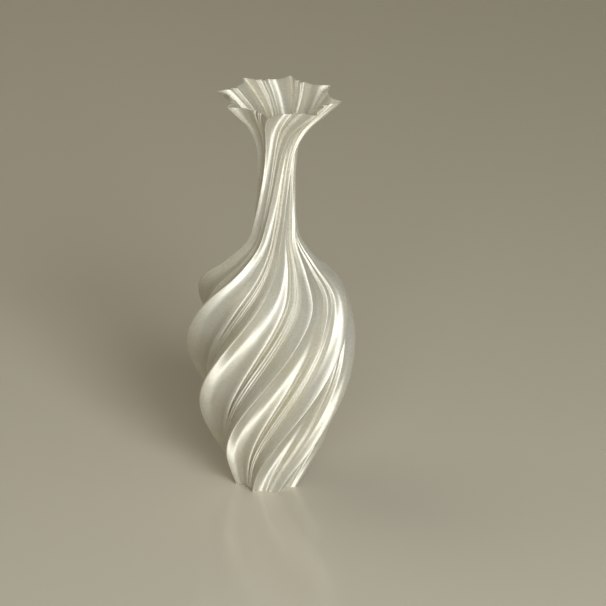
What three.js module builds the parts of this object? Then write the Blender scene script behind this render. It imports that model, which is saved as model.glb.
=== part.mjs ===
// Tall twisted vase with eight fluted lobes, printed as one thin shell.
// Millimetres, +Z up. The origin is the centre of the underside, on the surface it stands on.
//
// Every layer of the print is the same star-shaped outline. Going up, the outline only grows or
// shrinks with the tip radius and turns counter-clockwise, so each point of the star draws one
// long helical rib. The inner wall follows the outer one at the width of one printed bead.
import * as THREE from 'three';

const HEIGHT = 300;
const WALL = 0.8;                // one bead, measured level, as the printer lays it
const FLOOR = 1.2;
const LOBES = 8;
const LOBE_DEGREES = 360 / LOBES;
const TWIST_DEGREES = 196;       // how far the rim is turned from the base, evenly with height
const RIM_TIP_DEGREES = -8;      // where one lobe's tip points at the rim

// Height and radius over the lobes' tips: foot, belly, slim neck, flared mouth.
const TIP_RADIUS = [
  [0, 23.8], [18, 32.5], [36, 41.6], [60, 50.9], [84, 57.6], [108, 60.8], [132, 60.2], [156, 53], [174, 34.5],
  [192, 19.7], [210, 15.9], [228, 14.1], [246, 13.5], [264, 15.7], [279, 23.1], [291, 34.8], [300, 44.4],
];

// One lobe, from its tip to the next: degrees past the tip, and radius as a share of the tip's.
const LOBE = [
  [0, 1],          // sharp tip
  [3.2, 0.917],
  [7.5, 0.844],
  [12, 0.802],
  [17, 0.788],     // wide valley
  [23.5, 0.8],     // low shoulder
  [28.2, 0.749],   // narrow groove
  [30.2, 0.828],   // flat rib
  [36.5, 0.818],   // crevice beside it
  [37.2, 0.877],
  [38.5, 0.884],
  [40.6, 0.933],
];

const RING_HEIGHTS = [
  0, 12, 24, 36, 48, 60, 72, 84, 96, 108, 120, 132, 144, 154, 163, 172, 181, 191, 203, 217, 231, 245, 257,
  267, 276, 284, 291, 296, HEIGHT,
];

// A smooth curve through [x, y] points, read at one x.
function along(points, x) {
  const last = points.length - 1;
  let i = 0;
  while (i < last - 1 && x > points[i + 1][0]) {
    i += 1;
  }
  const slope = (a, b) => (points[b][1] - points[a][1]) / (points[b][0] - points[a][0]);
  const startSlope = slope(Math.max(i - 1, 0), i + 1);
  const endSlope = slope(i, Math.min(i + 2, last));
  const span = points[i + 1][0] - points[i][0];
  const t = (x - points[i][0]) / span;
  const fromStart = points[i][1] * (1 + 2 * t) * (1 - t) ** 2 + startSlope * span * t * (1 - t) ** 2;
  const fromEnd = points[i + 1][1] * t * t * (3 - 2 * t) - endSlope * span * t * t * (1 - t);
  return fromStart + fromEnd;
}

// The outer outline at a height, as a closed list of points.
function outerOutline(height) {
  const tip = along(TIP_RADIUS, height);
  const turn = RIM_TIP_DEGREES - TWIST_DEGREES * (1 - height / HEIGHT);
  const outline = [];
  for (let lobe = 0; lobe < LOBES; lobe += 1) {
    for (const [pastTip, share] of LOBE) {
      const angle = THREE.MathUtils.degToRad(turn + lobe * LOBE_DEGREES + pastTip);
      outline.push(new THREE.Vector2(Math.cos(angle), Math.sin(angle)).multiplyScalar(tip * share));
    }
  }
  return outline;
}

// The same outline moved inwards by the wall, with mitred corners.
function innerOutline(height) {
  const outer = outerOutline(height);
  const inwards = (from, to) => {
    const edge = to.clone().sub(from).normalize();
    return new THREE.Vector2(-edge.y, edge.x);
  };
  return outer.map((point, i) => {
    const before = inwards(outer.at(i - 1), point);
    const after = inwards(point, outer[(i + 1) % outer.length]);
    const mitre = before.add(after).normalize();
    return point.clone().addScaledVector(mitre, WALL / mitre.dot(after));
  });
}

// The shell is a turned profile, up the outside and down the inside, whose rings are then
// moved onto the fluted outlines.
function vaseGeometry() {
  const innerHeights = RING_HEIGHTS.filter((height) => height > FLOOR).reverse();
  const rings = [
    ...RING_HEIGHTS.map((height) => ({ height, outline: outerOutline(height) })),
    ...[...innerHeights, FLOOR].map((height) => ({ height, outline: innerOutline(height) })),
  ];
  const profile = [
    new THREE.Vector2(0, 0),
    ...rings.map(({ height }) => new THREE.Vector2(1, height)),
    new THREE.Vector2(0, FLOOR),
  ];
  const around = LOBES * LOBE.length;
  const geometry = new THREE.LatheGeometry(profile, around);
  const position = geometry.getAttribute('position');
  for (let spoke = 0; spoke <= around; spoke += 1) {
    for (let row = 0; row < profile.length; row += 1) {
      const vertex = spoke * profile.length + row;
      const ring = rings[row - 1];
      if (ring) {
        const point = ring.outline[spoke % around];
        position.setXYZ(vertex, point.x, point.y, ring.height);
      } else {
        position.setXYZ(vertex, 0, 0, profile[row].y);
      }
    }
  }
  geometry.deleteAttribute('normal');
  geometry.deleteAttribute('uv');
  return geometry;
}

// Pearl-white silk filament.
function silkFilament() {
  return new THREE.MeshStandardMaterial({ color: 0xded8c8, roughness: 0.35, metalness: 0.1 });
}

const vase = new THREE.Mesh(vaseGeometry(), silkFilament());
vase.name = 'vase';

const part = new THREE.Group();
part.add(vase);

export default part;
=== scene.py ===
# Pearl-white twisted vase, printed in silk filament: fine mesh, material, light and camera.
# Metres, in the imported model's frame: +Z up, origin at the centre of the underside.
import math

import bpy
import numpy as np
from mathutils import Euler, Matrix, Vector


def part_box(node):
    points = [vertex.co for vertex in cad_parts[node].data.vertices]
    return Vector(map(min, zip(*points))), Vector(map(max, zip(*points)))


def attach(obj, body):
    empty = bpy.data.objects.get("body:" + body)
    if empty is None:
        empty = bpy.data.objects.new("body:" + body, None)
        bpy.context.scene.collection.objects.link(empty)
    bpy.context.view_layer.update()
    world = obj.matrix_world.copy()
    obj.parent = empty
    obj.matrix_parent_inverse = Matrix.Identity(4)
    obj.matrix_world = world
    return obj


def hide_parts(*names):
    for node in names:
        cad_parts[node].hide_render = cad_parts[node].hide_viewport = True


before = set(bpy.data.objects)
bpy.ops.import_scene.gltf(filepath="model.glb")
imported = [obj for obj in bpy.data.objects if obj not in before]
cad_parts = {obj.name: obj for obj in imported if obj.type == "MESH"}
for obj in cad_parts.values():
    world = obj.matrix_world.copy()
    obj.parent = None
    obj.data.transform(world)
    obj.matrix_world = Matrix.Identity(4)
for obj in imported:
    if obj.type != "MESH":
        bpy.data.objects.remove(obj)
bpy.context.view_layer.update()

MM = 0.001
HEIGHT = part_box("vase")[1][2]
WALL = 0.8 * MM
FLOOR = 1.2 * MM
LOBES = 8
LOBE_DEGREES = 360 / LOBES
TWIST_DEGREES = 196
RIM_TIP_DEGREES = -8

# Height and radius over the lobes' tips, in mm.
TIP_RADIUS = [
    (0, 23.8), (18, 32.5), (36, 41.6), (60, 50.9), (84, 57.6), (108, 60.8), (132, 60.2), (156, 53),
    (174, 34.5), (192, 19.7), (210, 15.9), (228, 14.1), (246, 13.5), (264, 15.7), (279, 23.1),
    (291, 34.8), (300, 44.4),
]
TIP_CLEARANCE = 0.08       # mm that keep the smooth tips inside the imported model's box

# One lobe from its tip to the next: degrees past the tip, and radius as a share of the tip's.
# Each stretch is one smooth curve, and two stretches meet at an edge.
TIP_TO_GROOVE = [
    (0, 1), (1.2, 0.967), (2.5, 0.938), (4, 0.9), (5.2, 0.87), (6.6, 0.85), (8.6, 0.829),
    (11.6, 0.8045), (13.8, 0.793), (15.4, 0.7885), (17.5, 0.788), (19.8, 0.7935), (21.5, 0.7985),
    (23.2, 0.8), (24.4, 0.797), (25.4, 0.79), (26.1, 0.779), (26.9, 0.758), (27.5, 0.749),
    (28.2, 0.747),
]
GROOVE_WALL = [(28.2, 0.747), (29.1, 0.788), (30.2, 0.83)]
RIB = [(30.2, 0.83), (31.5, 0.817), (32.9, 0.828), (34.2, 0.817), (35.5, 0.831)]
CREVICE = [(35.5, 0.831), (36.5, 0.811)]
FACE_FOOT = [(36.5, 0.811), (37.2, 0.877)]
FACE = [
    (37.2, 0.877), (38.2, 0.879), (39, 0.892), (40, 0.918), (41, 0.943), (42.5, 0.967),
    (43.9, 0.983), (45, 1),
]
STRETCHES = [TIP_TO_GROOVE, GROOVE_WALL, RIB, CREVICE, FACE_FOOT, FACE]

# Degrees over which the printing rounds the tips and the other edges off. The first is in full
# use up to some degrees from a tip, and has given way to the second a little further on.
TIP_ROUNDING = 0.45
EDGE_ROUNDING = 0.3
TIP_ROUNDING_FULL = 2
TIP_ROUNDING_GONE = 4
# Steps in which one lobe is worked out, and how many on each side the rounding averages.
FINE_STEPS = 900
ROUNDING_STEPS = 40

# Degrees past the tip where the outline bends most. There its points are 1 + EDGE_CROWDING times
# as dense as on the smooth stretches, and they thin out over EDGE_REACH degrees.
EDGES = [0, 26.4, 28.2, 30.2, 31.5, 32.9, 34.2, 35.5, 36.8, 45]
EDGE_CROWDING = 5
EDGE_REACH = 0.6

POINTS_PER_LOBE = 64
OUTER_ROWS = 148
INNER_ROWS = 36
INNER_ROW_POWER = 1.6      # above 1, so the inner rows are closest together near the rim
SHARP_DEGREES = 60


# ---- Camera ----

CAMERA_AT = (0.0218, -2.1099, 1.0754)
CAMERA_DOWN_DEGREES = 23.84
CAMERA_ROLL_DEGREES = 2.14
CAMERA_LENS = 190.8
CAMERA_REACH = 50


def make_camera():
    data = bpy.data.cameras.new("camera")
    data.lens = CAMERA_LENS
    data.clip_end = CAMERA_REACH
    camera = bpy.data.objects.new("camera", data)
    camera.location = CAMERA_AT
    aim = Euler((math.radians(90 - CAMERA_DOWN_DEGREES), 0, 0)).to_matrix()
    roll = Euler((0, 0, math.radians(CAMERA_ROLL_DEGREES))).to_matrix()
    camera.rotation_euler = (aim @ roll).to_euler()
    bpy.context.scene.collection.objects.link(camera)
    bpy.context.scene.camera = camera


# ---- The vase's mesh ----

def along(points, x):
    """The smooth curve through points, read at every x."""
    xs, ys = np.array(points, float).T
    i = np.clip(np.searchsorted(xs, x) - 1, 0, len(xs) - 2)
    before, after = np.maximum(i - 1, 0), np.minimum(i + 2, len(xs) - 1)
    span = xs[i + 1] - xs[i]
    start_slope = (ys[i + 1] - ys[before]) / (xs[i + 1] - xs[before])
    end_slope = (ys[after] - ys[i]) / (xs[after] - xs[i])
    t = (x - xs[i]) / span
    from_start = ys[i] * (1 + 2 * t) * (1 - t) ** 2 + start_slope * span * t * (1 - t) ** 2
    from_end = ys[i + 1] * t * t * (3 - 2 * t) - end_slope * span * t * t * (1 - t)
    return from_start + from_end


def softened(share, step, degrees):
    """The radius shares of one lobe, spaced by step, averaged over some degrees around each."""
    reach = np.arange(-ROUNDING_STEPS, ROUNDING_STEPS + 1) * step
    weight = np.exp(-0.5 * (reach / degrees) ** 2)
    averaged = np.convolve(np.tile(share, 3), weight / weight.sum(), "same")
    return averaged[len(share):2 * len(share)]


def rounded_lobe():
    """Finely spaced degrees past the tip, and the radius share there with the edges rounded."""
    fine = np.linspace(0, LOBE_DEGREES, FINE_STEPS, endpoint=False)
    share = np.empty_like(fine)
    for points in STRETCHES:
        inside = (fine >= points[0][0]) & (fine < points[-1][0])
        share[inside] = along(points, fine[inside])
    step = fine[1]
    from_tip = np.minimum(fine, LOBE_DEGREES - fine)
    fade = (TIP_ROUNDING_GONE - from_tip) / (TIP_ROUNDING_GONE - TIP_ROUNDING_FULL)
    tip = np.clip(fade, 0, 1)
    near_tip = softened(share, step, TIP_ROUNDING)
    elsewhere = softened(share, step, EDGE_ROUNDING)
    rounded = tip * near_tip + (1 - tip) * elsewhere
    return fine, rounded / rounded.max()


def lobe_section():
    """Degrees past the tip and radius share of every point of one lobe."""
    fine, share = rounded_lobe()
    crowding = np.full(len(fine), 1.0)
    for edge in EDGES:
        crowding += EDGE_CROWDING * np.exp(-((fine - edge) / EDGE_REACH) ** 2)
    count = np.concatenate([[0], np.cumsum(crowding)])
    wanted = np.arange(POINTS_PER_LOBE) / POINTS_PER_LOBE * count[-1]
    degrees = np.interp(wanted, count, np.append(fine, LOBE_DEGREES))
    return degrees, np.interp(degrees, fine, share, period=LOBE_DEGREES)


def ring(height, degrees, radii):
    """A level ring of x, y, z from the angles and radii of one lobe."""
    turns = np.arange(LOBES)[:, None] * LOBE_DEGREES + degrees[None, :]
    angle = np.radians(turns.ravel() + RIM_TIP_DEGREES - TWIST_DEGREES * (1 - height / HEIGHT))
    radius = np.tile(radii, LOBES)
    return np.column_stack([radius * np.cos(angle), radius * np.sin(angle), np.full(len(angle), height)])


def tip_radius(height):
    return (along(TIP_RADIUS, np.array([height / MM]))[0] - TIP_CLEARANCE) * MM


def outer_ring(height):
    degrees, shares = lobe_section()
    return ring(height, degrees, shares * tip_radius(height))


def inner_ring(height):
    """The ring that stays one wall away from every point of the outer outline."""
    degrees, _ = lobe_section()
    fine, share = rounded_lobe()
    outer_degrees = np.concatenate([fine - LOBE_DEGREES, fine, fine + LOBE_DEGREES])
    outer_radius = np.tile(share, 3) * tip_radius(height)
    # Going out from the centre, the ring stops where it first comes within a wall of any point.
    turn = np.radians(degrees[:, None] - outer_degrees[None, :])
    spare = WALL ** 2 - (outer_radius * np.sin(turn)) ** 2
    stop = outer_radius * np.cos(turn) - np.sqrt(np.maximum(spare, 0))
    reached = np.where(spare > 0, stop, np.inf)
    return ring(height, degrees, reached.min(axis=1))


def vase_rings():
    """Every level ring from the outer foot up to the rim and down to the inner floor."""
    outer = np.linspace(0, HEIGHT, OUTER_ROWS)
    down = np.linspace(0, 1, INNER_ROWS) ** INNER_ROW_POWER
    inner = FLOOR + (HEIGHT - FLOOR) * (1 - down)
    return [outer_ring(height) for height in outer] + [inner_ring(height) for height in inner]


def make_vase(material):
    rings = vase_rings()
    per_ring = len(rings[0])
    vertices = np.concatenate(rings)
    faces = []
    for row in range(len(rings) - 1):
        for i in range(per_ring):
            j = (i + 1) % per_ring
            a, b = row * per_ring, (row + 1) * per_ring
            faces.append((a + i, a + j, b + j, b + i))
    foot, floor = len(vertices), len(vertices) + 1
    vertices = np.concatenate([vertices, [(0, 0, 0), (0, 0, FLOOR)]])
    last = (len(rings) - 1) * per_ring
    for i in range(per_ring):
        j = (i + 1) % per_ring
        faces.append((foot, j, i))
        faces.append((floor, last + i, last + j))
    mesh = bpy.data.meshes.new("printed_vase")
    mesh.from_pydata(vertices.tolist(), [], faces)
    mesh.polygons.foreach_set("use_smooth", np.ones(len(mesh.polygons), bool))
    mesh.update()
    vase = bpy.data.objects.new("printed_vase", mesh)
    bpy.context.scene.collection.objects.link(vase)
    mesh.materials.append(material)
    mesh.set_sharp_from_angle(angle=math.radians(SHARP_DEGREES))
    return vase


# ---- Materials ----

# The white changes slowly, over a few centimetres, between a warmer and a cooler one. Each tint
# goes with a value of the noise.
PEARL_NOISE = {"Scale": 22, "Detail": 3}
PEARL_TINTS = [(0.35, (0.76, 0.71, 0.56, 1)), (0.65, (0.81, 0.775, 0.655, 1))]

LAYER = 0.4 * MM
# At a scale of 1, Blender's wave texture turns through 20 radians in each metre.
WAVE_RADIANS = 20
LAYER_WAVE = {"Scale": 2 * math.pi / (WAVE_RADIANS * LAYER), "Distortion": 0}

# The layers are uneven, in marks under a millimetre high and about three times as long.
UNEVEN_STRETCH = {"Scale": (0.3, 0.3, 1)}
UNEVEN_NOISE = {"Scale": 1300, "Detail": 2}
UNEVEN_SHADE = {"From Min": 0.3, "From Max": 0.7, "To Min": 0.91, "To Max": 1.05}
LAYER_BUMP = {"Strength": 0.5, "Distance": 0.07 * MM}

SILK = {
    "Anisotropic": 1.0,
    "Anisotropic Rotation": 0.25,
    "Roughness": 0.49,
    "Metallic": 0.44,
    "IOR": 1.9,
    "Specular IOR Level": 1.0,
    "Subsurface Weight": 0.35,
    "Subsurface Radius": (1.0, 0.9, 0.65),
    "Subsurface Scale": 3 * MM,
}
PALE = {"Base Color": (0.55, 0.505, 0.415, 1), "Roughness": 0.2}
UP = (0, 0, 1)


def set_inputs(node, values):
    for name, value in values.items():
        node.inputs[name].default_value = value


def new_material(name, values):
    """A material whose one shader has these values, and that shader."""
    material = bpy.data.materials.new(name)
    material.use_nodes = True
    shader = material.node_tree.nodes["Principled BSDF"]
    set_inputs(shader, values)
    return material, shader


def silk_filament():
    """Pearl-white silk filament: satin, stretched highlights across fine level layers."""
    material, shader = new_material("silk_filament", SILK)
    link = material.node_tree.links.new

    def add(kind, values=None):
        node = material.node_tree.nodes.new(kind)
        set_inputs(node, values or {})
        return node

    geometry = add("ShaderNodeNewGeometry")
    place = add("ShaderNodeTexCoord").outputs["Object"]

    pearl = add("ShaderNodeTexNoise", PEARL_NOISE)
    link(place, pearl.inputs["Vector"])
    tint = add("ShaderNodeValToRGB")
    for element, (position, colour) in zip(tint.color_ramp.elements, PEARL_TINTS):
        element.position = position
        element.color = colour
    link(pearl.outputs["Fac"], tint.inputs["Fac"])

    layers = add("ShaderNodeTexWave", LAYER_WAVE)
    layers.bands_direction = "Z"
    link(place, layers.inputs["Vector"])
    stretched = add("ShaderNodeMapping", UNEVEN_STRETCH)
    link(place, stretched.inputs["Vector"])
    uneven = add("ShaderNodeTexNoise", UNEVEN_NOISE)
    link(stretched.outputs["Vector"], uneven.inputs["Vector"])
    shade = add("ShaderNodeMapRange", UNEVEN_SHADE)
    link(uneven.outputs["Fac"], shade.inputs["Value"])
    shaded = add("ShaderNodeVectorMath")
    shaded.operation = "SCALE"
    link(tint.outputs["Color"], shaded.inputs[0])
    link(shade.outputs["Result"], shaded.inputs["Scale"])
    link(shaded.outputs["Vector"], shader.inputs["Base Color"])

    relief = add("ShaderNodeMath")
    relief.operation = "ADD"
    link(layers.outputs["Fac"], relief.inputs[0])
    link(uneven.outputs["Fac"], relief.inputs[1])
    bump = add("ShaderNodeBump", LAYER_BUMP)
    link(relief.outputs["Value"], bump.inputs["Height"])
    link(bump.outputs["Normal"], shader.inputs["Normal"])

    # The layers run level, so the highlights are stretched across them.
    level = add("ShaderNodeVectorMath", {0: UP})
    level.operation = "CROSS_PRODUCT"
    link(geometry.outputs["Normal"], level.inputs[1])
    link(level.outputs["Vector"], shader.inputs["Tangent"])
    return material


# ---- Floor and light ----

# The studio floor runs back from its front edge, bends up and ends at the backdrop's top.
STAGE_FRONT = -4.0
STAGE_BACK = 1.2
STAGE_BEND = 0.8
STAGE_BEND_STEPS = 16
STAGE_TOP = 3.0
STAGE_HALF_WIDTH = 4.0

# Each light faces the middle of the vase. Its azimuth and elevation are in degrees from there,
# its distance, width and height in metres, and its power in watts.
LIGHTS = [
    dict(name="window", azimuth=-66, elevation=24, distance=2.2, width=0.8, height=1.6, power=43,
         colour=(0.945, 0.975, 1.0)),
    dict(name="wall", azimuth=-92, elevation=28, distance=3.2, width=1.4, height=1.4, power=23,
         colour=(0.955, 0.98, 1.0)),
    dict(name="room", azimuth=160, elevation=50, distance=2.2, width=1.5, height=1.5, power=9,
         colour=(1.0, 0.95, 0.82)),
]
STUDIO_GLOW = {"Color": (0.62, 0.57, 0.40, 1), "Strength": 0.175}


def make_floor():
    """A plain floor that curves up into the backdrop."""
    profile = [(STAGE_FRONT, 0.0), (STAGE_BACK, 0.0)]
    for step in range(1, STAGE_BEND_STEPS + 1):
        a = math.radians(90 * step / STAGE_BEND_STEPS)
        profile.append((STAGE_BACK + STAGE_BEND * math.sin(a), STAGE_BEND * (1 - math.cos(a))))
    profile.append((STAGE_BACK + STAGE_BEND, STAGE_TOP))
    vertices = [(side * STAGE_HALF_WIDTH, y, z) for y, z in profile for side in (-1, 1)]
    faces = [(2 * i, 2 * i + 1, 2 * i + 3, 2 * i + 2) for i in range(len(profile) - 1)]
    mesh = bpy.data.meshes.new("studio_floor")
    mesh.from_pydata(vertices, [], faces)
    mesh.polygons.foreach_set("use_smooth", [True] * len(mesh.polygons))
    floor = bpy.data.objects.new("studio_floor", mesh)
    bpy.context.scene.collection.objects.link(floor)
    pale_floor, _ = new_material("pale_floor", PALE)
    mesh.materials.append(pale_floor)


def area_light(name, azimuth, elevation, distance, width, height, power, colour):
    """A light at a direction and distance from the middle of the vase, facing it."""
    data = bpy.data.lights.new(name, "AREA")
    data.shape = "RECTANGLE"
    data.size, data.size_y = width, height
    data.energy = power
    data.color = colour
    middle = Vector((0, 0, HEIGHT / 2))
    a, e = math.radians(azimuth), math.radians(elevation)
    out = Vector((math.cos(a) * math.cos(e), math.sin(a) * math.cos(e), math.sin(e)))
    place = middle + out * distance
    light = bpy.data.objects.new(name, data)
    light.location = place
    light.rotation_euler = (middle - place).to_track_quat("-Z", "Y").to_euler()
    bpy.context.scene.collection.objects.link(light)


def make_lights():
    for light in LIGHTS:
        area_light(**light)
    world = bpy.data.worlds.new("studio")
    bpy.context.scene.world = world
    world.use_nodes = True
    set_inputs(world.node_tree.nodes["Background"], STUDIO_GLOW)


make_camera()
make_floor()
make_lights()
bpy.context.scene.view_settings.view_transform = "Standard"

vase = make_vase(silk_filament())
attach(vase, "root")
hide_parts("vase")
